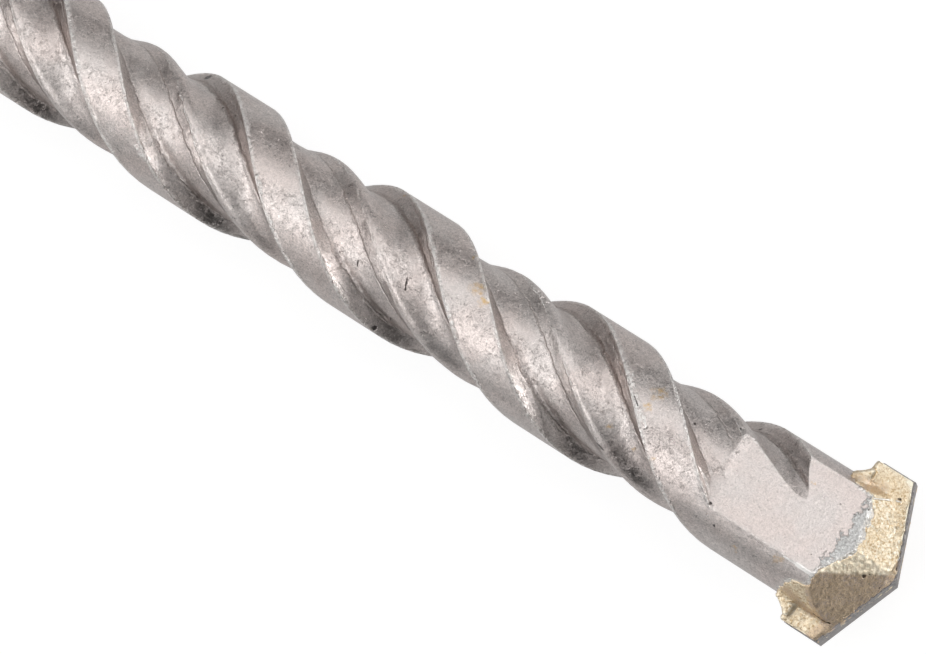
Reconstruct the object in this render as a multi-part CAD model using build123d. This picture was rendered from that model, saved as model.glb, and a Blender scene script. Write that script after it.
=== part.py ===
"""Masonry drill bit with a slotted hammer shank, a two-flute body and a brazed cutting plate.

The bit is built standing on its axis, with z = 0 at the rear end of the shank and z = OVERALL at
the tip, and is laid down at the end. Angles round the axis start at the plate's near face and
turn to the right, seen from behind, as the flutes do.
"""
import math
import os

from build123d import *

# Driving sizes, in millimetres and degrees
OVERALL = 200.0
TIP_DIAMETER = 20.0

SHANK_DIAMETER = 10.0
SHANK_LENGTH = 45.0  # plain round part, rear end to neck
INSERTION = 40.0  # how deep the shank goes into its holder
SHANK_CHAMFER = 1.0
NECK_LENGTH = 7.0
DRIVE_WIDTH = 3.1  # two drive grooves, open to the rear
DRIVE_DEPTH = 1.7
DRIVE_LENGTH = 28.0
DRIVE_CUTTER_RADIUS = 12.0  # the disc that cuts them leaves its arc at their end
LOCK_BALL_RADIUS = 3.4  # two closed recesses that hold the bit in
LOCK_DEPTH = 1.1
LOCK_START = 11.0
LOCK_LENGTH = 19.0

CLEARANCE = 2.0  # by which a cutter passes the surface that it enters through

LAND_DIAMETER = 15.0
FLOOR_DIAMETER = 11.0
RIB_DIAMETER = 13.15
PITCH = 50.6
FLUTE_ANGLE = 128.5  # of each flute, the rest of its half turn is land
FLUTE_START = 54.0  # from the rear end
START_RAMP = 9.0  # length over which the flutes deepen
START_MARGIN = 2.0  # the sweep of a flute starts this far before its ramp
GUARD_ANGLE = 60.0  # of the space that the flats' cutters spare, behind each flute
GUARD_REACH = 13.0
GUARD_OVERLAP = 0.7

FLAT_WIDTH = 10.7  # across the two flats of the head
FLAT_TURN = -18.0  # of the flats, from the plate
FLAT_LENGTH = 19.9  # from the tip
FLAT_CUTTER_RADIUS = 5.0  # the rounded run-out at their rear end
BED_REACH = 6.0  # length over which the flute's floor swells up to the level of the flat
BED_RISE = 1.5

PLATE_THICKNESS = 3.2
PLATE_DEPTH = 8.2  # tip to the plate's rear edge
POINT_SLOPE = 0.38  # fall of the cutting edges for each millimetre outwards
EDGE_RELIEF = 0.35  # fall of the ground faces across the plate
END_RELIEF = 0.35  # and of the wings' ends
WING_SWEEP = 0.3  # the wings' rear edges lie this much further forward at their ends
CORNER_RADIUS = 0.35

BRAZE_GAP = 0.12
BRAZE_COAT = 0.18  # thickness over the wings' broad faces
BARE_FRONT = 0.3  # ground strips that the braze leaves free
BARE_SIDE = 0.12
FILLET_REACH = 1.6  # of the braze in the corner between wing and body
FILLET_WIDTH = 1.45
FILLET_HOLLOW = 0.4  # share of its reach at the middle of its curve
FILLET_SPREAD = 0.9

# Bevels of a jaw's nose: a point across, out and behind the tip, and the way that each faces
UPPER_BEVEL = ((-1.03, 5.29, -4.98), (-0.402, 0.745, 0.533))
MIDDLE_BEVEL = ((3.02, 6.59, -6.81), (0.0, 0.822, 0.57))
LOWER_BEVEL = ((1.56, 1.72, -1.05), (0.301, 0.689, 0.659))
NOSE = ((0.0, 0.0, -1.1), (0.0, 0.0, 1.0))


def polar(radius, angle, z=0.0):
    """Point at an angle round the axis."""
    turn = math.radians(angle)
    return Vector(-radius * math.sin(turn), radius * math.cos(turn), z)


def half_turned(shape):
    """The same shape on the other side of the axis."""
    return shape.rotate(Axis.Z, 180)


def above(origin, normal, size=60.0):
    """Block that fills the space in front of a plane."""
    plane = Plane(origin=origin, z_dir=normal)
    return plane * Box(size, size, size, align=(Align.CENTER, Align.CENTER, Align.MIN))


def turned_blank():
    """Round blank: shank, hollow neck and body."""
    shank, body = SHANK_DIAMETER / 2, LAND_DIAMETER / 2
    neck_end = SHANK_LENGTH + NECK_LENGTH
    with BuildPart() as blank:
        with BuildSketch(Plane.XZ):
            with BuildLine():
                Polyline(
                    (0, 0),
                    (shank - SHANK_CHAMFER, 0),
                    (shank, SHANK_CHAMFER),
                    (shank, SHANK_LENGTH),
                )
                TangentArc((shank, SHANK_LENGTH), (body, neck_end), tangent=(0, 1))
                Polyline((body, neck_end), (body, OVERALL), (0, OVERALL), (0, 0))
            make_face()
        revolve(axis=Axis.Z)
    return blank.part


def flute_outline():
    """Wavy floor of one flute, from the steep flank past the rib to the trailing edge."""
    land, floor, rib = LAND_DIAMETER / 2, FLOOR_DIAMETER / 2, RIB_DIAMETER / 2
    wall, hump = land - floor, rib - floor
    steep = [(0, 0.92), (2.7, 0.62), (7.0, 0.27), (13.0, 0.03)]
    ridge = [(22, -0.06), (33, 0.02), (43, 0.42), (51, 0.82), (58, 1.0)]
    drop = [(63.5, 0.92), (69.5, 0.58), (76, 0.27), (85, 0.14), (100, 0.1)]
    trail = [(17.5, 0.03), (10, 0.02), (5, 0.27), (0, 0.92)]
    points = [polar(floor + wall * share, angle) for angle, share in steep]
    points += [polar(floor + hump * share, angle) for angle, share in ridge + drop]
    points += [polar(floor + wall * share, FLUTE_ANGLE - angle) for angle, share in trail]
    return points


def start_ramp():
    """Ring that the flutes rise over at their rear end."""
    land, floor = LAND_DIAMETER / 2, FLOOR_DIAMETER / 2 - BRAZE_GAP
    outside, rear = land + 2 * CLEARANCE, FLUTE_START - 2 * START_MARGIN
    with BuildPart() as ring:
        with BuildSketch(Plane.XZ):
            with BuildLine():
                Polyline((0, rear), (outside, rear), (outside, FLUTE_START), (land, FLUTE_START))
                run = TangentArc(
                    (floor, FLUTE_START + START_RAMP), (land, FLUTE_START), tangent=(0, -1)
                )
                Polyline(run @ 0, (0, FLUTE_START + START_RAMP), (0, rear))
            make_face()
        revolve(axis=Axis.Z)
    return ring.part


def flute_start():
    """Height and angle at which the sweep of one flute starts, well inside the start ramp."""
    # Its steep edge meets the rear end of the flat's upper edge
    edge_angle = math.degrees(math.acos(FLAT_WIDTH / LAND_DIAMETER))
    edge_z = OVERALL - FLAT_LENGTH + (FLUTE_ANGLE - 2 * edge_angle) / 360 * PITCH
    start = FLUTE_START - START_MARGIN
    return start, FLAT_TURN - edge_angle + (start - edge_z) / PITCH * 360


def twisted(face, start, end):
    """Sweep of a face along the axis that turns with the flutes."""
    start_z, start_angle = flute_start()
    angle = start_angle + (start - start_z) / PITCH * 360
    placed = face.rotate(Axis.Z, angle).moved(Pos(0, 0, start))
    twist = (end - start) / PITCH * 360
    return Solid.extrude_linear_with_rotation(placed, (0, 0, start), (0, 0, end - start), twist)


def flat_side():
    """Plane square to a flat through the axis: its x points out of the flat, its y to the tip."""
    return Plane(origin=(0, 0, 0), x_dir=polar(1, FLAT_TURN), z_dir=polar(1, FLAT_TURN - 90))


def flat_bed():
    """Material under a flat's lower half, which the flute doesn't reach."""
    half, rear = FLAT_WIDTH / 2, OVERALL - FLAT_LENGTH
    foot = (half - BED_RISE, rear - BED_REACH)
    inside = -LAND_DIAMETER / 2 - CLEARANCE
    with BuildPart() as bed:
        with BuildSketch(flat_side()):
            with BuildLine():
                TangentArc((half, rear), foot, tangent=(0, -1))
                Polyline(foot, (inside, foot[1]), (inside, OVERALL), (half, OVERALL), (half, rear))
            make_face()
        extrude(amount=-LAND_DIAMETER)
    return bed.part


def flute_void():
    """Space of one flute: its outline twisted along the axis, with a ramp at each end."""
    points = flute_outline()
    outside = LAND_DIAMETER / 2 + CLEARANCE
    last, first = polar(outside, FLUTE_ANGLE), polar(outside, 0)
    middle = polar(outside, FLUTE_ANGLE / 2)
    with BuildSketch() as section:
        with BuildLine():
            Spline(*points)
            Line(points[-1], last)
            ThreePointArc(last, middle, first)
            Line(first, points[0])
        make_face()
    start, _ = flute_start()
    void = twisted(section.sketch.faces()[0], start, OVERALL - PLATE_DEPTH)
    return void - start_ramp() - flat_bed()


def land_guard():
    """Space of the land behind the flat, which the flat's cutter spares."""
    outside = LAND_DIAMETER / 2 + 2 * CLEARANCE
    first = FLUTE_ANGLE - GUARD_OVERLAP
    last = first + GUARD_ANGLE
    with BuildSketch() as section:
        with BuildLine():
            Line((0, 0), polar(outside, first))
            ThreePointArc(polar(outside, first), polar(outside, (first + last) / 2), polar(outside, last))
            Line(polar(outside, last), (0, 0))
        make_face()
    rear = OVERALL - FLAT_LENGTH
    return twisted(section.sketch.faces()[0], rear - GUARD_REACH, rear + GUARD_OVERLAP)


def flat_cutter():
    """Prism that mills one flat, with a rounded run-out at its rear end."""
    half, deep = FLAT_WIDTH / 2, LAND_DIAMETER / 2 + CLEARANCE
    rear, front = OVERALL - FLAT_LENGTH, OVERALL + CLEARANCE
    run = math.sqrt(FLAT_CUTTER_RADIUS**2 - (FLAT_CUTTER_RADIUS - deep + half) ** 2)
    with BuildPart() as cutter:
        with BuildSketch(flat_side()):
            with BuildLine():
                TangentArc((half, rear), (deep, rear - run), tangent=(0, -1))
                Polyline((half, rear), (half, front), (deep, front), (deep, rear - run))
            make_face()
        extrude(amount=LAND_DIAMETER, both=True)
    return cutter.part - land_guard()


def nose_cutters():
    """Blocks that bevel the nose of one jaw, beside the plate's near face."""
    blocks = []
    for point, facing in (UPPER_BEVEL, MIDDLE_BEVEL, LOWER_BEVEL, NOSE):
        across, out, behind = point
        origin = (-across, out, OVERALL + behind)
        blocks.append(above(origin, (-facing[0], facing[1], facing[2])))
    return blocks


def drive_groove():
    """Groove of the shank, open to the rear, cut by a disc."""
    radius, depth = DRIVE_CUTTER_RADIUS, DRIVE_DEPTH
    floor = SHANK_DIAMETER / 2 - depth
    centre = DRIVE_LENGTH - math.sqrt(radius**2 - (radius - depth) ** 2)
    length = centre + CLEARANCE
    path = Box(SHANK_DIAMETER, DRIVE_WIDTH, length, align=(Align.MIN, Align.CENTER, Align.MAX))
    disc = Rot(X=90) * Cylinder(radius, DRIVE_WIDTH)
    return Pos(floor, 0, centre) * (path + Pos(radius, 0, 0) * disc)


def lock_recess():
    """Closed recess of the shank, cut by a ball-nosed cutter."""
    radius = LOCK_BALL_RADIUS
    out = SHANK_DIAMETER / 2 - LOCK_DEPTH + radius
    # Half the length of the opening that a ball leaves in the shank's surface
    mouth = math.sqrt(radius**2 - (radius - LOCK_DEPTH) ** 2)
    low, high = LOCK_START + mouth, LOCK_START + LOCK_LENGTH - mouth
    rod = Pos(0, out, (low + high) / 2) * Cylinder(radius, high - low)
    ends = Pos(0, out, low) * Sphere(radius) + Pos(0, out, high) * Sphere(radius)
    return rod + ends


def plate_blank(thickness, rear=0.0):
    """Plate before its front and its ends are ground, drawn back at its rear edge."""
    half, body = TIP_DIAMETER / 2, LAND_DIAMETER / 2
    back = OVERALL - PLATE_DEPTH + rear
    points = [
        (half, back + WING_SWEEP),
        (half, OVERALL),
        (-half, OVERALL),
        (-half, back + WING_SWEEP),
        (-body, back),
        (body, back),
    ]
    outline = Plane.XZ * make_face(Polyline(*points, close=True))
    return extrude(outline, thickness / 2, both=True)


def ground_off(plate, front=0.0, side=0.0):
    """The plate without what lies ahead of its two edges and beyond its two relieved ends."""
    apex = (0, 0, OVERALL - EDGE_RELIEF / 2 - front)
    end = ((TIP_DIAMETER - END_RELIEF) / 2 - side, 0, OVERALL)
    edge = above(apex, (POINT_SLOPE, -EDGE_RELIEF / PLATE_THICKNESS, 1))
    beyond = above(end, (1, -END_RELIEF / PLATE_THICKNESS, 0))
    for block in (edge, beyond):
        plate = plate - block - half_turned(block)
    return plate


def cutting_plate():
    """Hard plate across the whole diameter, with its front ground to two edges."""
    plate = plate_blank(PLATE_THICKNESS)
    rear_corners = plate.edges().filter_by(Axis.Y).group_by(Axis.X)
    wing_rear = [group.sort_by(Axis.Z)[0] for group in (rear_corners[0], rear_corners[-1])]
    return ground_off(fillet(wing_rear, CORNER_RADIUS))


def plate_slot():
    """Slot that takes the plate and the braze round it."""
    width = PLATE_THICKNESS + 2 * BRAZE_GAP
    floor = OVERALL - PLATE_DEPTH - BRAZE_GAP
    height = OVERALL - floor + CLEARANCE
    return Pos(0, 0, floor + height / 2) * Box(2 * TIP_DIAMETER, width, height)


def steel_body():
    """Shank, fluted body and jaws in one piece of steel."""
    body = turned_blank()
    void = flute_void()
    body = body - void - half_turned(void)
    flat = flat_cutter()
    body = body - flat - half_turned(flat)
    body -= plate_slot()
    for block in nose_cutters():
        body = body - block - half_turned(block)
    groove, recess = drive_groove(), lock_recess()
    return body - groove - half_turned(groove) - recess - half_turned(recess)


def corner_fillet(way):
    """Braze in the hollow corner between the body's side and one wing's rear edge."""
    side, back = LAND_DIAMETER / 2, OVERALL - PLATE_DEPTH
    foot, waist = back - FILLET_REACH, back - FILLET_HOLLOW * FILLET_REACH
    toe = back + WING_SWEEP
    inside = (side - CLEARANCE) * way
    with BuildSketch(Plane.XZ) as corner:
        with BuildLine():
            ThreePointArc(
                (way * side, foot),
                (way * (side + FILLET_HOLLOW * FILLET_WIDTH), waist),
                (way * (side + FILLET_WIDTH), toe),
            )
            Polyline((way * (side + FILLET_WIDTH), toe), (inside, toe), (inside, foot), (way * side, foot))
        make_face()
    return extrude(corner.sketch, PLATE_THICKNESS / 2 + FILLET_SPREAD, both=True)


def braze(body, plate):
    """Brazing metal: the film in the slot, the coat on the wings and the corner fillets."""
    coat = plate_blank(PLATE_THICKNESS + 2 * BRAZE_COAT, rear=-BRAZE_GAP)
    metal = ground_off(coat, BARE_FRONT, BARE_SIDE)
    metal += corner_fillet(1)
    metal += corner_fillet(-1)
    metal = metal - plate - body
    return metal.solids().sort_by(SortBy.VOLUME)[-1]


def laid_down(shape):
    """Axis along +X with the tip ahead and the plate's broad faces level."""
    level = Plane(origin=(0, 0, 0), x_dir=(0, 1, 0), z_dir=(1, 0, 0)).location
    return Pos(-INSERTION, 0, 0) * shape.moved(level)


def main():
    os.makedirs("parts", exist_ok=True)
    body, plate = steel_body(), cutting_plate()
    nodes = {"steel_body": body, "carbide_tip": plate, "braze": braze(body, plate)}
    for name, shape in nodes.items():
        export_step(laid_down(shape), f"parts/{name}.step")


main()
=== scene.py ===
import math

import bmesh
import bpy
import numpy as np
from mathutils import Matrix, Vector, noise


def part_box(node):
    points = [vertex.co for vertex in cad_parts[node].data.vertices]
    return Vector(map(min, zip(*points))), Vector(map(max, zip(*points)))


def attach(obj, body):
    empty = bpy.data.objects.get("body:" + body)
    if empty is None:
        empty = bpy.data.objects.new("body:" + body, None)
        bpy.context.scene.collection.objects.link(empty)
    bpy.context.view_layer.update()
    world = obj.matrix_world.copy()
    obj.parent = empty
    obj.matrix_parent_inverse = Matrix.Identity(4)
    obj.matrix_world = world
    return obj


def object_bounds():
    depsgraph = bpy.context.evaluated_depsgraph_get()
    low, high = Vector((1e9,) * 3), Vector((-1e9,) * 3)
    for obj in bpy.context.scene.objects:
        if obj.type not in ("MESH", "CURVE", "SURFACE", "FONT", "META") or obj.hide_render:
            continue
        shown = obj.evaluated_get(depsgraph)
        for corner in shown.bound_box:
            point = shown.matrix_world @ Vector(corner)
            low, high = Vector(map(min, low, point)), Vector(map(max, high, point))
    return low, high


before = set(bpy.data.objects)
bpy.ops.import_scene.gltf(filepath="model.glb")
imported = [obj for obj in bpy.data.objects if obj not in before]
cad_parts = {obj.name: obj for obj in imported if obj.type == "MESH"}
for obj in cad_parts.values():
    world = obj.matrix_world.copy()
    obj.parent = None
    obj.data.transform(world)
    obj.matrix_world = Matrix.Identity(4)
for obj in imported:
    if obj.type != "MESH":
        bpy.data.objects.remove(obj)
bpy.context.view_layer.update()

MM = 0.001

# Camera: pixels of the photo, metres from the tip, and turns of the bit's axis in the image
SENSOR_MM = 36.0
IMAGE_SIZE = (926, 654)
FOCAL_PIXELS = 3403.0
TIP_PIXEL = (897.6, 583.6)
TIP_DEPTH = 0.35398
AXIS_SLANT = math.radians(32.42)
AXIS_TILT = math.radians(17.084)
VIEW_ROLL = math.radians(-4.2)

# Lamps and floor, in metres
LAMP_DISTANCE = 0.9
LAMP_SIZE = 0.5
STAGE_MIDDLE = 0.1
FLOOR_SIZE = 3.0

# Strength of the floor's glow, seen by the camera and mirrored in the metal
FLOOR_GLOW = 0.87
MIRRORED_GLOW = 0.46

# Soft lamps: degrees from straight up, degrees from image right towards image top, watts
LAMPS = {
    "overhead": (0, 0, 0.67),
    "ring_right": (35, 0, 0.36),
    "ring_top_right": (35, 45, 1.18),
    "ring_top": (35, 90, 0.68),
    "ring_top_left": (35, 135, 1.03),
    "ring_left": (35, 180, 1.2),
    "ring_bottom_left": (35, 225, 1.29),
    "side_top_right": (65, 45, 1.17),
    "side_top": (65, 90, 0.32),
    "side_top_left": (65, 135, 0.3),
    "side_bottom_left": (65, 225, 0.74),
    "side_right": (57, 322, 0.4),
    "low_right": (82, 0, 4.73),
    "low_left": (82, 180, 2.14),
}

# Sizes of the solids, in millimetres
TIP_X = 160.0
BODY_X = 18.0
HEAD_X = 139.5
JAW_X = 147.0
LAND_RADIUS = 7.5
PITCH = 50.6
POINT_SLOPE = 0.38
EDGE_RELIEF = 0.35
END_RELIEF = 0.35
PLATE_HALF = 1.6
WING_HALF = 10.0
BEVEL_START = -6.75
FLAT_ANGLE = math.radians(18.0)

# Bevels of the nose: a point, in millimetres from the tip, and the way the plane faces
UPPER_BEVEL = ((-4.98, 1.03, 5.29), (0.533, 0.402, 0.745))
LOWER_BEVEL = ((-1.05, -1.56, 1.72), (0.659, -0.301, 0.689))
MIDDLE_BEVEL = ((-6.81, -3.02, 6.59), (0.57, 0.0, 0.822))

# Degrees of the helix at the edges and feet of the land and the rib
LAND_EDGE = 39.5
FLANK_FOOT = 49.5
RIB_EDGE = 104.3
RIB_FOOT = 118.3
FRONT_FOOT = 160.0
FRONT_EDGE = 169.5

# Braze skin, in millimetres
SKIN_START = 148.0
SKIN_VOXEL = 0.13
SKIN_SINK = 0.2
REAR_SWELL = 0.35
SWELL_ACROSS = (6.4, 7.2)
MELT_DEPTH = 0.02
MELT_ACROSS = (5.4, 6.0)
MELT_FRONT = (154.8, 154.0)
MELT_REAR = (149.2, 149.8)
COAT = 0.075
COAT_WAVES = 0.035
COAT_LUMPS = 0.048
COAT_VALLEYS = 0.04
COAT_LEAST = 0.025

# Rounds that fill the hollows, rounds that melt the wings' rear, and the share moved in each
FILL_STEPS = 100
MELT_STEPS = 30
MELT_SHARE = 0.6

# Strips that the braze leaves bare along the plate's edges, in millimetres
LEADING_STRIP = 0.3
TRAILING_STRIP = 0.06
END_STRIP = 0.12
BARE_CORNER_ACROSS = 0.8
BARE_CORNER_ALONG = 1.6
BARE_MARGIN = 0.15
BORDER_RAGGEDNESS = 0.22

# Rear border of the braze: degrees round the axis, millimetres from the tip
BRAZE_BORDER = (
    (-90, -9.8), (-71, -9.7), (-65, -8.9), (-62.5, -7.8), (-61, -6.5), (-55, -5.5), (-45, -5.2),
    (-37, -5.1), (-27, -4.8), (-3, -4.8), (7, -5.7), (13, -6.2), (19, -6.6), (26, -7.0),
    (38, -6.9), (41, -7.6), (43, -8.8), (52, -9.4), (60, -9.9), (90, -10.1),
)

# Samples for each lookup of nearby edges and hollows
EDGE_SAMPLES = 4

# Wear marks, and strokes of painted highlight along bright edges, where the photo shows them, in
# millimetres: place and radius, or start, end and half width
STAINS = (
    ((106.2, 3.2, 6.8), 1.0),
    ((107.5, 2.4, 7.1), 0.7),
    ((103.2, 5.7, 4.9), 0.5),
    ((129.1, 3.9, 6.4), 1.0),
    ((129.0, 2.1, 7.2), 0.7),
    ((132.2, -2.5, 7.1), 0.5),
    ((129.4, -2.5, 4.8), 0.35),
    ((126.1, -1.7, 5.5), 0.45),
    ((148.9, -4.1, 6.3), 0.8),
    ((144.3, -5.6, 4.9), 0.6),
    ((147.4, 4.4, 4.2), 0.35),
    ((91.5, 7.0, 0.4), 0.4),
)
PITS = (
    ((63.4, 6.5, -1.8), 0.5),
    ((96.8, -6.9, 1.6), 0.36),
    ((133.6, 3.1, 4.6), 0.14),
    ((139.9, -2.9, 6.6), 0.15),
    ((141.3, -4.7, 5.8), 0.15),
    ((137.9, 5.2, 3.8), 0.13),
    ((138.5, 5.9, -1.9), 0.2),
    ((68.8, 4.8, 3.0), 0.13),
    ((153.9, 5.1, 3.9), 0.1),
    ((151.6, -1.8, 6.2), 0.07),
    ((151.1, 4.1, 4.3), 0.07),
)
CRACKS = (
    ((98.5, -0.2, 5.8), (99.0, -1.2, 6.0), 0.09),
    ((92.4, -1.3, 5.4), (92.7, -1.8, 5.3), 0.09),
    ((125.8, -4.1, 5.0), (126.7, -4.4, 4.9), 0.13),
    ((98.2, -4.9, 2.8), (98.0, -5.2, 1.8), 0.08),
    ((100.7, -4.5, 4.2), (100.9, -4.8, 3.1), 0.1),
    ((127.1, 2.3, 7.1), (128.0, 1.7, 7.3), 0.07),
    ((100.9, 2.5, 6.7), (101.7, 1.8, 6.9), 0.1),
)
BURRS = (
    ((97.5, 5.2, 5.2), (99.7, 3.5, 6.3), 0.3),
    ((99.7, 3.5, 6.3), (101.6, 1.8, 7.1), 0.5),
    ((101.6, 1.8, 7.1), (105.7, -1.5, 7.3), 0.4),
    ((125.1, 4.2, 6.2), (127.0, 2.4, 7.1), 0.3),
    ((127.0, 2.4, 7.1), (129.7, 0.3, 7.5), 0.42),
    ((63.8, -3.8, 6.4), (65.1, -4.5, 6.0), 0.35),
    ((139.2, -2.5, 6.9), (140.2, -3.0, 6.9), 0.3),
)
# Painted highlight along the lower edge of the flat
PAINTED_HIGHLIGHTS = (
    ((149.4, -3.46, 6.66), (151.7, -3.45, 6.66), 0.12),
    ((151.0, -3.45, 6.66), (152.9, -3.52, 6.63), 0.26),
)
DENTS = (
    ((111.9, 5.7, 3.2), 0.3),
    ((110.9, 6.0, 2.6), 0.3),
    ((112.8, 5.6, 3.4), 0.3),
)
NOSE_GROOVES = (
    ((158.57, 2.58, 1.95), (158.80, -1.28, 2.09), 0.07),
    ((154.4, -7.12, 2.35), (155.9, -7.25, 2.16), 0.1),
    ((155.9, -7.25, 2.16), (156.3, -7.13, 1.92), 0.12),
    ((157.0, -5.95, 1.78), (157.6, -4.96, 1.6), 0.12),
    ((154.9, 7.3, 2.3), (155.8, 7.7, 1.85), 0.09),
)
# Ridges of the nose, raised in the bump and given a painted highlight
NOSE_RIDGES = (
    ((152.9, 6.6, 3.56), (153.7, 6.38, 3.38), 0.12),
    ((153.7, 6.38, 3.38), (154.7, 6.96, 2.41), 0.1),
    ((154.7, 6.96, 2.41), (155.95, 7.5, 1.85), 0.1),
    ((156.0, 7.43, 1.85), (157.3, 4.84, 1.8), 0.06),
)
NOSE_BURNS = (
    ((158.9, 1.9, 1.8), (159.1, -0.4, 1.8), 0.38),
    ((152.4, 6.9, 3.1), (153.5, 7.6, 1.9), 0.8),
    ((151.0, 7.2, 2.5), (152.4, 7.2, 2.4), 0.8),
    ((151.0, -6.5, 3.9), (154.2, -7.2, 2.4), 0.7),
    ((153.6, -2.9, 6.3), (154.0, -2.6, 6.2), 0.25),
)
NOSE_PITS = (
    ((159.21, 1.3, 1.78), 0.15),
    ((157.08, -0.96, 3.89), 0.26),
    ((157.4, -0.5, 3.6), 0.14),
)


def camera_axes():
    """Right, down and towards the camera, for a camera that looks down on the bit from its side."""
    lean, cosine = math.sin(AXIS_TILT), math.cos(AXIS_TILT)
    side, up = -math.sin(VIEW_ROLL), math.cos(VIEW_ROLL)
    towards = Vector((lean, cosine * side, cosine * up))
    along = Vector((cosine, -lean * side, -lean * up))
    across = Vector((0, -up, side))
    right = math.cos(AXIS_SLANT) * along - math.sin(AXIS_SLANT) * across
    down = math.sin(AXIS_SLANT) * along + math.cos(AXIS_SLANT) * across
    return right, down, towards


def add_camera():
    right, down, towards = camera_axes()
    tip = Vector((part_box("carbide_tip")[1].x, 0, 0))
    offset_right = (TIP_PIXEL[0] - IMAGE_SIZE[0] / 2) / FOCAL_PIXELS * TIP_DEPTH
    offset_down = (TIP_PIXEL[1] - IMAGE_SIZE[1] / 2) / FOCAL_PIXELS * TIP_DEPTH
    data = bpy.data.cameras.new("camera")
    data.lens = FOCAL_PIXELS * SENSOR_MM / IMAGE_SIZE[0]
    data.sensor_width = SENSOR_MM
    data.clip_start = 0.01
    camera = bpy.data.objects.new("camera", data)
    bpy.context.scene.collection.objects.link(camera)
    place = tip - offset_right * right - offset_down * down + TIP_DEPTH * towards
    turn = Matrix((right, -down, towards)).transposed()
    camera.matrix_world = Matrix.Translation(place) @ turn.to_4x4()
    bpy.context.scene.camera = camera


class Shader:
    """Short ways to lay out a material's nodes, with places in millimetres."""

    def __init__(self, name):
        self.material = bpy.data.materials.new(name)
        self.material.use_nodes = True
        self.tree = self.material.node_tree
        self.tree.nodes.clear()
        self.output = self.tree.nodes.new("ShaderNodeOutputMaterial")
        place = self.node("TexCoord").outputs["Object"]
        self.place = self.vector("SCALE", place, 1 / MM)
        self.normal = self.node("NewGeometry").outputs["Normal"]

    def link(self, value, socket):
        if isinstance(value, bpy.types.NodeSocket):
            self.tree.links.new(value, socket)
        elif socket.type == "RGBA" and len(value) == 3:
            socket.default_value = (*value, 1.0)
        else:
            socket.default_value = value

    def node(self, kind, inputs=None, **settings):
        made = self.tree.nodes.new("ShaderNode" + kind)
        for key, value in settings.items():
            setattr(made, key, value)
        for key, value in (inputs or {}).items():
            self.link(value, made.inputs[key])
        return made

    def vector(self, kind, a, b):
        made = self.node("VectorMath", {0: a}, operation=kind)
        self.link(b, made.inputs["Scale" if kind == "SCALE" else 1])
        return made.outputs["Value" if kind in ("DISTANCE", "DOT_PRODUCT") else "Vector"]

    def math(self, kind, a, b=0.0):
        return self.node("Math", {0: a, 1: b}, operation=kind).outputs[0]

    def chain(self, kind, first, *others):
        for other in others:
            first = self.math(kind, first, other)
        return first

    def product(self, *values):
        return self.chain("MULTIPLY", *values)

    def total(self, *values):
        return self.chain("ADD", *values)

    def most(self, *values):
        return self.chain("MAXIMUM", *values)

    def least(self, *values):
        return self.chain("MINIMUM", *values)

    def less(self, a, b):
        return self.math("SUBTRACT", a, b)

    def xyz(self, value):
        return self.node("SeparateXYZ", {0: value}).outputs

    def noise(self, scale, detail=2.0, roughness=0.5, distortion=0.0, place=None):
        inputs = {"Vector": place or self.place, "Scale": scale, "Detail": detail}
        inputs.update({"Roughness": roughness, "Distortion": distortion})
        return self.node("TexNoise", inputs).outputs["Fac"]

    def span(self, value, low, high, out_low=0.0, out_high=1.0):
        inputs = {"Value": value, "From Min": low, "From Max": high}
        inputs.update({"To Min": out_low, "To Max": out_high})
        return self.node("MapRange", inputs, clamp=True).outputs[0]

    def mix(self, share, a, b):
        return self.node("Mix", {0: share, 6: a, 7: b}, data_type="RGBA").outputs[2]

    def times(self, colour, value):
        return self.vector("SCALE", colour, value)

    def shaken(self, scale, reach):
        """Place moved about by noise, so that marks get ragged borders."""
        inputs = {"Vector": self.place, "Scale": scale, "Detail": 3.0}
        colour = self.node("TexNoise", inputs).outputs["Color"]
        centred = self.vector("SUBTRACT", colour, (0.5, 0.5, 0.5))
        return self.vector("ADD", self.place, self.vector("SCALE", centred, reach))

    def spots(self, marks, place):
        """Distance to the nearest mark, as a share of that mark's radius."""
        shares = []
        for centre, radius in marks:
            shares.append(self.product(self.vector("DISTANCE", place, centre), 1 / radius))
        return self.least(*shares)

    def strokes(self, marks, place):
        """Distance to the nearest stroke, as a share of its half width."""
        gaps = []
        for start, end, radius in marks:
            run = Vector(end) - Vector(start)
            offset = self.vector("SUBTRACT", place, start)
            share = self.vector("DOT_PRODUCT", offset, tuple(run / run.length_squared))
            on_line = self.vector("SCALE", tuple(run), self.span(share, 0, 1))
            gaps.append(self.product(self.vector("DISTANCE", offset, on_line), 1 / radius))
        return self.least(*gaps)

    def half_turned(self):
        """Place folded onto the near half, which the far half repeats after half a turn."""
        parts = self.xyz(self.place)
        along = self.less(parts["X"], TIP_X)
        across = self.product(parts["Y"], self.math("SIGN", parts["Z"]))
        out = self.math("ABSOLUTE", parts["Z"])
        return self.node("CombineXYZ", {0: along, 1: across, 2: out}).outputs[0]

    def line(self, value, centre, half):
        """Share of a soft line round one value, which fades out at a little over its half width."""
        return self.span(self.math("ABSOLUTE", self.less(value, centre)), 1.4 * half, 0.4 * half)

    def helix(self):
        """Degrees, from 0 to 180, that tell which helix of the flutes a point lies on."""
        parts = self.xyz(self.place)
        turn = self.math("ARCTAN2", self.product(parts["Y"], -1.0), parts["Z"])
        run = self.product(self.less(parts["X"], TIP_X), -2.0 / PITCH)
        halves = self.total(self.product(turn, 1 / math.pi), run)
        return self.product(self.math("FRACT", halves), 180.0)

    def level(self, folded, plane):
        """Height over a plane of the nose."""
        point, facing = plane
        return self.vector("DOT_PRODUCT", self.vector("SUBTRACT", folded, point), facing)

    def occlusion(self, reach, inside=False):
        """Share of open space within reach: low in hollows, or at outer edges when looking inside."""
        inputs = {"Distance": reach * MM}
        return self.node("AmbientOcclusion", inputs, samples=EDGE_SAMPLES, inside=inside).outputs["AO"]

    def rounded(self, radius):
        """Normal of a surface whose edges are rounded off."""
        return self.node("Bevel", {"Radius": radius * MM}, samples=EDGE_SAMPLES).outputs[0]

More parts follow.
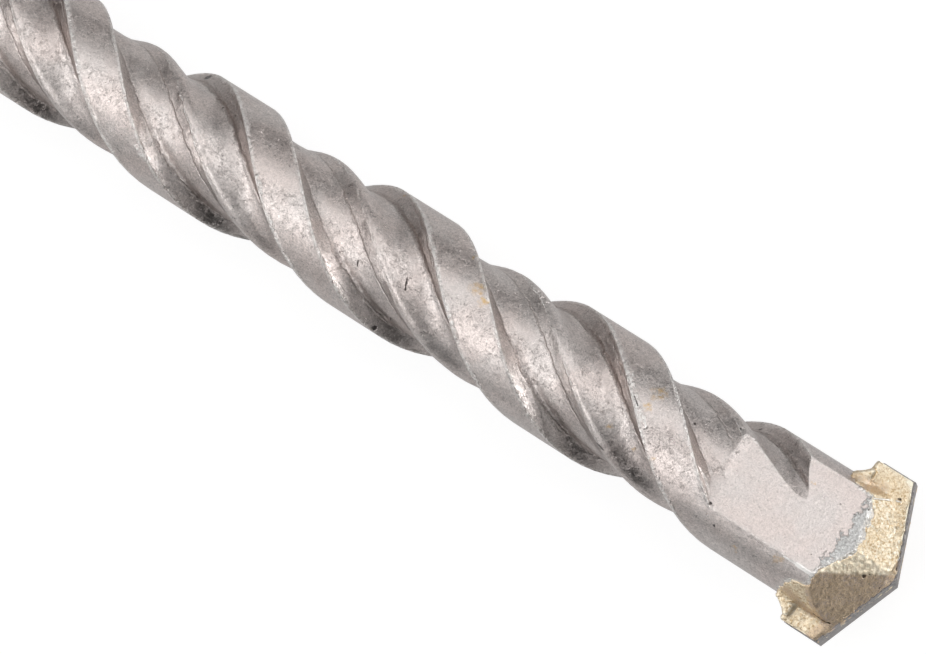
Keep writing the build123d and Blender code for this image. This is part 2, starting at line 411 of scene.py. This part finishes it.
    def finish(self, inputs):
        made = self.node("BsdfPrincipled", inputs)
        self.tree.links.new(made.outputs[0], self.output.inputs["Surface"])
        return self.material


def steel_grains(s):
    """Noises of the blasted surface, from wide patches to fine dots."""
    crease = s.math("ABSOLUTE", s.less(s.noise(2.4, 3, 0.55, 1.2), 0.5))
    return {
        "patches": s.noise(0.16, 3, 0.6),
        "mottle": s.noise(0.9, 4, 0.62),
        "grain": s.noise(4.2, 3, 0.65, 0.5),
        "fine": s.noise(8.5, 2, 0.6),
        "wrinkle": s.product(s.span(crease, 0.0, 0.03, 1, 0), s.span(s.noise(1.3, 2), 0.46, 0.6)),
        "dots": s.noise(3.1, 1, 0.4, place=s.shaken(0.8, 3.0)),
    }


def steel_lines(s, on_flat):
    """Painted shade at the feet and on the flanks, and torn edges, which follow the helix of the flutes.
    """
    along = s.xyz(s.place)["X"]
    radius = s.vector("DISTANCE", s.place, s.node("CombineXYZ", {0: along}).outputs[0])
    wavy = s.total(s.helix(), s.span(s.noise(0.6, 4, 0.6), 0.3, 0.7, -1.6, 1.6))
    twisted = s.span(along, HEAD_X, HEAD_X - 2)
    on_body = s.product(s.span(along, BODY_X, BODY_X + 4), s.span(along, JAW_X + 1.2, JAW_X))
    on_body = s.product(on_body, s.less(1.0, on_flat))

    # Painted shade in the creases at the feet of the flutes, and thin lines of painted shade at other feet
    # and beside the edges of the lands
    foot_shade = s.line(wavy, FLANK_FOOT, 2.2)
    thin_lines = ((FRONT_FOOT, 1.3), (RIB_FOOT, 1.3), (LAND_EDGE + 1.6, 0.9), (FRONT_EDGE - 0.6, 0.8))
    for centre, half in thin_lines:
        foot_shade = s.most(foot_shade, s.product(s.line(wavy, centre, half), twisted, 0.5))
    foot_shade = s.product(foot_shade, on_body, s.span(radius, LAND_RADIUS - 0.2, LAND_RADIUS - 0.4))

    # Painted shade on the flank below each land's edge, and more weakly on the side of each rib
    flank_shade = s.product(s.span(wavy, LAND_EDGE, LAND_EDGE + 2), s.span(wavy, FLANK_FOOT + 3, FLANK_FOOT))
    ribside_shade = s.product(s.span(wavy, RIB_EDGE, RIB_EDGE + 2), s.span(wavy, RIB_FOOT + 2, RIB_FOOT))
    flank_shade = s.product(s.most(flank_shade, s.product(ribside_shade, twisted, 0.35)), on_body)

    on_land = s.span(radius, LAND_RADIUS - 0.3, LAND_RADIUS - 0.15)
    torn = s.product(s.line(wavy, LAND_EDGE - 2.4, 3.0), on_land)
    torn = s.most(torn, s.line(wavy, RIB_EDGE, 1.0), s.product(s.line(wavy, FRONT_EDGE + 1.0, 0.9), 0.8))
    torn = s.product(torn, twisted, s.span(s.noise(0.28, 3, 0.6), 0.42, 0.54))
    return foot_shade, flank_shade, torn


def steel_marks(s, torn):
    """Masks of the wear that the photo shows at one place each, of edges worn bright, and of a painted
    highlight along the flat's lower edge.
    """
    ragged = s.shaken(3.0, 0.3)
    stain = s.span(s.spots(STAINS, s.shaken(1.2, 2.2)), 1.0, 0.1)
    pit = s.span(s.spots(PITS, ragged), 1.15, 0.75)
    crack = s.span(s.strokes(CRACKS, ragged), 1.1, 0.6)
    worn = s.span(s.occlusion(0.5, inside=True), 0.95, 0.66)
    from_tip = s.less(s.xyz(s.place)["X"], TIP_X)
    frost = s.total(from_tip, s.span(s.noise(1.4, 4, 0.65), 0.3, 0.7, -0.9, 0.9))
    return {
        "stain": s.product(stain, s.span(s.noise(1.8, 4, 0.65), 0.36, 0.54)),
        "black": s.most(pit, crack),
        "burr": s.most(s.span(s.strokes(BURRS, ragged), 1.2, 0.7), torn),
        "painted_highlight": s.span(s.strokes(PAINTED_HIGHLIGHTS, s.place), 1.1, 0.8),
        "dent": s.span(s.spots(DENTS, ragged), 1.1, 0.5),
        "worn": s.product(worn, s.span(s.noise(2.0, 4, 0.65), 0.36, 0.54)),
        "frost": s.span(frost, BEVEL_START - 0.1, BEVEL_START + 0.15),
    }


def steel_colour(s, grains, marks, on_flat, painted_shade):
    colour = s.mix(s.span(grains["patches"], 0.4, 0.6), (0.645, 0.572, 0.543), (0.635, 0.583, 0.560))
    tone = s.product(
        s.span(grains["mottle"], 0.3, 0.7, 0.92, 1.08),
        s.span(grains["grain"], 0.3, 0.7, 0.72, 1.24),
        s.span(grains["fine"], 0.3, 0.7, 0.82, 1.16),
        s.span(grains["wrinkle"], 0, 1, 1.0, 0.82),
        s.span(grains["dots"], 0.34, 0.28, 1.0, 0.62),
    )
    even = s.total(s.product(tone, 0.55), 0.44)
    tone = s.total(s.product(tone, s.less(1.0, on_flat)), s.product(even, on_flat))
    colour = s.times(colour, tone)
    # Painted shade: the colour darkened in hollows, on the flanks and at the feet of the flutes
    shaded_colour = s.vector("MULTIPLY", colour, (0.45, 0.40, 0.38))
    colour = s.mix(s.product(painted_shade, 0.7), colour, shaded_colour)
    colour = s.mix(s.product(marks["stain"], 0.85), colour, (0.62, 0.41, 0.17))
    frosted = s.times((0.54, 0.555, 0.55), s.span(s.noise(5.0, 3, 0.7), 0.36, 0.64, 0.55, 1.45))
    colour = s.mix(s.product(marks["frost"], 0.75), colour, frosted)
    # Lighter on burrs and worn edges, and a painted highlight along the flat's lower edge
    wear_and_highlight = s.product(marks["burr"], s.span(s.noise(2.6, 3, 0.65), 0.46, 0.56))
    wear_and_highlight = s.most(s.product(s.most(wear_and_highlight, marks["worn"]), 0.8), marks["painted_highlight"])
    colour = s.mix(wear_and_highlight, colour, (0.93, 0.905, 0.875))
    return s.mix(s.product(marks["black"], 0.85), colour, (0.04, 0.035, 0.035))


def steel_height(s, grains, marks, on_flat, foot_shade):
    height = s.total(
        s.product(grains["grain"], 0.6),
        s.product(grains["fine"], 0.3),
        s.product(grains["mottle"], s.span(on_flat, 0, 1, 0.55, 0.15)),
    )
    height = s.less(height, s.product(grains["wrinkle"], s.span(on_flat, 0, 1, 0.3, 0.05)))
    height = s.less(height, s.product(marks["black"], 2.0))
    height = s.less(height, s.product(s.total(marks["dent"], foot_shade), 2.4))
    rough = s.product(s.noise(2.6, 3, 0.6), s.total(marks["burr"], marks["frost"], marks["worn"]))
    return s.total(height, s.product(rough, 3.0))


def steel_material():
    s = Shader("blasted_steel")
    flat_facing = (0.0, math.sin(FLAT_ANGLE), math.cos(FLAT_ANGLE))
    on_flat = s.span(s.math("ABSOLUTE", s.vector("DOT_PRODUCT", s.normal, flat_facing)), 0.985, 0.995)
    grains = steel_grains(s)
    foot_shade, flank_shade, torn = steel_lines(s, on_flat)
    marks = steel_marks(s, torn)
    # Painted shade: darker in hollows by ambient occlusion, on the flanks and at the feet of the flutes
    hollow_shade = s.span(s.occlusion(2.2), 0.95, 0.5)
    painted_shade = s.most(s.product(hollow_shade, 0.75), s.product(flank_shade, 0.6), foot_shade)
    height = steel_height(s, grains, marks, on_flat, foot_shade)
    bump = s.node("Bump", {"Height": height, "Normal": s.rounded(0.15), "Distance": 0.055 * MM})
    return s.finish({
        "Base Color": steel_colour(s, grains, marks, on_flat, painted_shade),
        "Metallic": 1.0,
        "Roughness": s.span(grains["mottle"], 0.3, 0.7, 0.27, 0.35),
        "Normal": bump.outputs[0],
    })


def carbide_material():
    s = Shader("ground_carbide")
    squeezed = s.vector("MULTIPLY", s.place, (6.0, 6.0, 0.7))
    lines = s.noise(1.0, 2, 0.5, place=squeezed)
    mottle = s.noise(1.4, 4, 0.65)
    grain = s.noise(6.0, 2, 0.6)
    worn = s.span(s.occlusion(0.25, inside=True), 0.9, 0.6)
    chip = s.product(worn, s.span(s.noise(2.5, 3, 0.6), 0.45, 0.6))
    smear = s.span(s.noise(0.5, 4, 0.65), 0.57, 0.66)
    tone = s.product(
        s.span(mottle, 0.3, 0.7, 0.8, 1.2),
        s.span(lines, 0.3, 0.7, 0.9, 1.1),
        s.span(grain, 0.3, 0.7, 0.88, 1.12),
    )
    colour = s.times((0.37, 0.35, 0.345), tone)
    colour = s.mix(s.product(smear, 0.4), colour, (0.45, 0.38, 0.36))
    colour = s.mix(s.product(chip, 0.6), colour, (0.10, 0.10, 0.11))
    height = s.less(s.total(s.product(lines, 0.5), s.product(grain, 0.4)), s.product(chip, 1.5))
    inputs = {"Height": height, "Normal": s.rounded(0.1), "Distance": 0.03 * MM, "Strength": 0.8}
    return s.finish({
        "Base Color": colour,
        "Metallic": 0.9,
        "Roughness": s.span(mottle, 0.3, 0.7, 0.4, 0.52),
        "Normal": s.node("Bump", inputs).outputs[0],
    })


def braze_gold(s, fleck, upper, middle):
    """Clean brass with painted shade in its valleys and a painted highlight on its crests, painted shade
    on the upper bevel and painted light on the middle bevel.
    """
    crest = s.node("NewGeometry").outputs["Pointiness"]
    gold = s.mix(s.span(s.noise(0.45, 4, 0.6), 0.38, 0.62), (0.87, 0.73, 0.53), (0.93, 0.82, 0.64))
    gold = s.mix(s.span(fleck, 0.47, 0.62), gold, (0.58, 0.42, 0.24))
    gold = s.mix(s.span(fleck, 0.42, 0.32), gold, (0.99, 0.92, 0.76))
    # Painted shade in the hollows of the skin and a painted highlight on its crests, from how pointed the
    # mesh is
    gold = s.mix(s.span(crest, 0.485, 0.41), gold, (0.44, 0.31, 0.17))
    gold = s.mix(s.span(crest, 0.53, 0.62), gold, (1.0, 0.94, 0.80))
    in_front = s.span(s.xyz(s.normal)["X"], 0.25, 0.5)
    on_upper = s.product(in_front, s.span(s.less(upper, middle), -0.1, 0.1))
    on_middle = s.product(in_front, s.span(s.less(middle, upper), -0.1, 0.1))
    # Painted shade on the upper bevel, and painted light on the middle bevel
    gold = s.times(gold, s.span(on_upper, 0.0, 1.0, 1.04, 0.66))
    return s.mix(s.product(on_middle, 0.5), gold, (0.92, 0.85, 0.70))


def braze_brown(s, fleck, grain):
    """Brass burnt brown, with greyer patches and sandy flecks."""
    brown = s.mix(s.span(s.noise(0.55, 3, 0.6), 0.46, 0.6), (0.64, 0.49, 0.36), (0.62, 0.50, 0.45))
    brown = s.mix(s.span(fleck, 0.40, 0.58), brown, (0.80, 0.63, 0.44))
    return s.mix(s.span(grain, 0.44, 0.32), brown, (0.36, 0.27, 0.20))


def braze_material():
    s = Shader("brazing_brass")
    folded = s.half_turned()
    ragged = s.shaken(2.5, 0.22)
    fleck = s.noise(3.8, 4, 0.66, 0.8)
    grain = s.noise(7.5, 2, 0.6)
    upper, middle, lower = [s.level(folded, plane) for plane in (UPPER_BEVEL, MIDDLE_BEVEL, LOWER_BEVEL)]
    near_lower = s.span(s.math("ABSOLUTE", lower), 0.45, 0.3)
    burnt = s.product(s.span(s.less(lower, middle), -0.06, 0.08), near_lower)
    burn = s.span(s.strokes(NOSE_BURNS, ragged), 1.2, 0.5)
    groove = s.span(s.strokes(NOSE_GROOVES, ragged), 1.2, 0.6)
    black = s.most(groove, s.span(s.spots(NOSE_PITS, ragged), 1.1, 0.7))
    ridge = s.span(s.strokes(NOSE_RIDGES, ragged), 1.1, 0.6)
    brown_share = s.most(s.product(burnt, 0.9), s.product(burn, 0.7))
    colour = s.mix(brown_share, braze_gold(s, fleck, upper, middle), braze_brown(s, fleck, grain))
    # Painted highlight along the ridges of the nose
    colour = s.mix(s.product(ridge, 0.8), colour, (0.97, 0.95, 0.90))
    colour = s.mix(s.product(black, 0.9), colour, (0.06, 0.045, 0.035))
    height = s.less(s.total(fleck, s.product(grain, 0.35), ridge), s.product(black, 1.2))
    return s.finish({
        "Base Color": colour,
        "Metallic": 1.0,
        "Roughness": s.span(fleck, 0.3, 0.7, 0.36, 0.52),
        "Normal": s.node("Bump", {"Height": height, "Distance": 0.07 * MM}).outputs[0],
    })


def smooth(value, low, high):
    share = min(max((value - low) / (high - low), 0.0), 1.0)
    return share * share * (3 - 2 * share)


def ramp(values, low, high):
    return np.clip((values - low) / (high - low), 0, 1)


def border_at(angle):
    """Where the braze ends on the body, from the nearest two points of its border."""
    for (start, low), (end, high) in zip(BRAZE_BORDER, BRAZE_BORDER[1:]):
        if angle <= end:
            return low + (high - low) * (angle - start) / (end - start)
    return BRAZE_BORDER[-1][1]


def braze_reach(point):
    """How far a point of the nose lies inside the area that the braze covers, in millimetres."""
    along, across, out = point.x - TIP_X, point.y, point.z
    if out < 0:
        across, out = -across, -out
    leading = across > 0
    lean = out if leading else -out
    width = abs(across)
    ground = -EDGE_RELIEF / 2 - POINT_SLOPE * width + EDGE_RELIEF / (2 * PLATE_HALF) * lean
    end = WING_HALF - END_RELIEF / 2 + END_RELIEF / (2 * PLATE_HALF) * lean
    front_gap = ground - along
    end_gap = end - width
    ragged = BORDER_RAGGEDNESS * noise.fractal(point * 1.3, 0.7, 2.0, 4)
    border = border_at(math.degrees(math.atan2(-across, out)))
    strip = LEADING_STRIP if leading else TRAILING_STRIP
    reach = min(along - border + 1.6 * ragged, front_gap - strip + ragged)
    reach = min(reach, end_gap - END_STRIP + 0.6 * ragged)
    if leading and point.z > 0:
        corner = 0.7 * (end_gap / BARE_CORNER_ACROSS + front_gap / BARE_CORNER_ALONG - 1) + 2 * ragged
        reach = min(reach, corner)
    return reach


def braze_swell(point, reach):
    """How far the braze stands proud of the solids at a point, in millimetres."""
    if reach < 0:
        return -SKIN_SINK * smooth(-reach, 0.0, 0.12)
    waves = noise.fractal(point * 0.7, 0.8, 2.0, 3)
    lumps = noise.fractal(point * 1.9 + Vector((7, 3, 5)), 0.7, 2.1, 4)
    ridges = abs(noise.noise(point * 1.25 + Vector((1, 9, 4))))
    coat = COAT + COAT_WAVES * waves + COAT_LUMPS * lumps - COAT_VALLEYS * smooth(0.12 - ridges, 0.0, 0.12)
    return max(coat, COAT_LEAST) * smooth(reach, -0.02, 0.16)


def nose_solid():
    """The front end of all three solids, closed at the rear, in millimetres."""
    solid = bmesh.new()
    for name in ("steel_body", "carbide_tip", "braze"):
        solid.from_mesh(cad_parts[name].data)
    bmesh.ops.scale(solid, vec=(1 / MM, 1 / MM, 1 / MM), verts=solid.verts)
    bmesh.ops.remove_doubles(solid, verts=solid.verts, dist=0.0005)
    geometry = solid.verts[:] + solid.edges[:] + solid.faces[:]
    cut = bmesh.ops.bisect_plane(
        solid, geom=geometry, plane_co=(SKIN_START, 0, 0), plane_no=(-1, 0, 0), clear_outer=True
    )
    rim = [item for item in cut["geom_cut"] if isinstance(item, bmesh.types.BMEdge)]
    bmesh.ops.triangle_fill(solid, edges=rim, use_beauty=True)
    return solid


def nose_mesh():
    """Closed skin of fine even squares over the nose."""
    solid = nose_solid()
    mesh = bpy.data.meshes.new("nose_copy")
    solid.to_mesh(mesh)
    solid.free()
    holder = bpy.data.objects.new("nose_copy", mesh)
    bpy.context.scene.collection.objects.link(holder)
    remesh = holder.modifiers.new("skin", "REMESH")
    remesh.mode = "VOXEL"
    remesh.voxel_size = SKIN_VOXEL
    graph = bpy.context.evaluated_depsgraph_get()
    skin = bpy.data.meshes.new_from_object(holder.evaluated_get(graph))
    bpy.data.objects.remove(holder)
    return skin


def fill_hollows(mesh):
    """Thicken the wings' rear faces and round their corners off, as molten metal does."""
    count = len(mesh.vertices)
    places = np.empty(count * 3)
    normals = np.empty(count * 3)
    edges = np.empty(len(mesh.edges) * 2, dtype=int)
    mesh.vertices.foreach_get("co", places)
    mesh.vertices.foreach_get("normal", normals)
    mesh.edges.foreach_get("vertices", edges)
    places, normals, edges = places.reshape(-1, 3), normals.reshape(-1, 3), edges.reshape(-1, 2)
    starts = np.concatenate((edges[:, 0], edges[:, 1]))
    ends = np.concatenate((edges[:, 1], edges[:, 0]))
    near = np.bincount(starts, minlength=count)

    def way_to_neighbours():
        sums = [np.bincount(starts, weights=places[ends, axis], minlength=count) for axis in range(3)]
        return np.stack(sums, axis=1) / near[:, None] - places

    facing_rear = np.clip(-normals[:, 0], 0, 1)
    swell = REAR_SWELL * ramp(np.abs(places[:, 1]), *SWELL_ACROSS) * facing_rear
    places += swell[:, None] * normals
    for _ in range(FILL_STEPS):
        rise = (way_to_neighbours() * normals).sum(axis=1)
        rise = np.where(places[:, 0] > SKIN_START + 0.5, np.maximum(rise, 0.0), 0.0)
        places += rise[:, None] * normals

    melted = ramp(np.abs(places[:, 1]), *MELT_ACROSS)
    melted *= ramp(places[:, 0], *MELT_FRONT) * ramp(places[:, 0], *MELT_REAR)
    firm = places.copy()
    for _ in range(MELT_STEPS):
        places += MELT_SHARE * melted[:, None] * way_to_neighbours()
    sunk = ((firm - places) * normals).sum(axis=1)
    places += np.maximum(sunk - MELT_DEPTH, 0.0)[:, None] * normals
    mesh.vertices.foreach_set("co", places.ravel())
    mesh.update()


def add_braze_skin(look):
    """Rough brazing metal that has run over the nose, with the ground strips left bare."""
    source = nose_mesh()
    fill_hollows(source)
    skin = bmesh.new()
    skin.from_mesh(source)
    skin.normal_update()
    reaches = {vert: braze_reach(vert.co) for vert in skin.verts}
    moves = {vert: braze_swell(vert.co, reach) * vert.normal for vert, reach in reaches.items()}
    bare = [face for face in skin.faces if all(reaches[vert] < -BARE_MARGIN for vert in face.verts)]
    for vert, move in moves.items():
        vert.co += move
    bmesh.ops.delete(skin, geom=bare, context="FACES")
    bmesh.ops.scale(skin, vec=(MM, MM, MM), verts=skin.verts)
    mesh = bpy.data.meshes.new("braze_skin")
    skin.to_mesh(mesh)
    skin.free()
    mesh.shade_smooth()
    piece = bpy.data.objects.new("braze_skin", mesh)
    bpy.context.scene.collection.objects.link(piece)
    piece.data.materials.append(look)
    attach(piece, "root")


def floor_material():
    """Pale floor that the camera and the metal see as near white, with the bit's shadow on it."""
    s = Shader("studio_floor")
    rays = s.node("LightPath").outputs
    direct = s.most(rays["Is Camera Ray"], rays["Is Transmission Ray"])
    seen = s.most(direct, rays["Is Glossy Ray"])
    lit = s.node("BsdfDiffuse", {"Color": (0.82, 0.82, 0.82)})
    dim = s.node("BsdfDiffuse", {"Color": (0.2, 0.2, 0.2)})
    strength = s.span(direct, 0, 1, MIRRORED_GLOW, FLOOR_GLOW)
    glow = s.node("Emission", {"Color": (1, 1, 1), "Strength": strength})
    shown = s.node("AddShader", {0: dim.outputs[0], 1: glow.outputs[0]})
    mixed = s.node("MixShader", {"Fac": seen, 1: lit.outputs[0], 2: shown.outputs[0]})
    s.tree.links.new(mixed.outputs[0], s.output.inputs["Surface"])
    return s.material


def add_floor():
    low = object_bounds()[0].z
    bpy.ops.mesh.primitive_plane_add(size=FLOOR_SIZE, location=(STAGE_MIDDLE, 0, low))
    floor = bpy.context.object
    floor.name = "floor"
    floor.data.materials.append(floor_material())


def add_lamp(name, direction, power):
    data = bpy.data.lights.new(name, "AREA")
    data.shape = "DISK"
    data.size = LAMP_SIZE
    data.energy = power
    lamp = bpy.data.objects.new(name, data)
    bpy.context.scene.collection.objects.link(lamp)
    lamp.location = Vector((STAGE_MIDDLE, 0, 0)) + LAMP_DISTANCE * direction
    lamp.rotation_euler = direction.to_track_quat("Z", "Y").to_euler()


def light_scene():
    right, down, _ = camera_axes()
    up = Vector((0, 0, 1))
    level_right = (right - right.z * up).normalized()
    level_top = -(down - down.z * up).normalized()
    world = bpy.data.worlds.new("studio")
    bpy.context.scene.world = world
    world.use_nodes = True
    world.node_tree.nodes["Background"].inputs["Strength"].default_value = 0.0
    for name, (polar, azimuth, power) in LAMPS.items():
        fall, turn = math.radians(polar), math.radians(azimuth)
        level = math.cos(turn) * level_right + math.sin(turn) * level_top
        add_lamp(name, math.cos(fall) * up + math.sin(fall) * level, power)


def main():
    add_camera()
    brass = braze_material()
    looks = {"steel_body": steel_material(), "carbide_tip": carbide_material(), "braze": brass}
    for name, look in looks.items():
        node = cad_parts[name]
        node.data.materials.clear()
        node.data.materials.append(look)
    add_braze_skin(brass)
    add_floor()
    light_scene()
    bpy.context.scene.view_settings.view_transform = "Standard"


main()
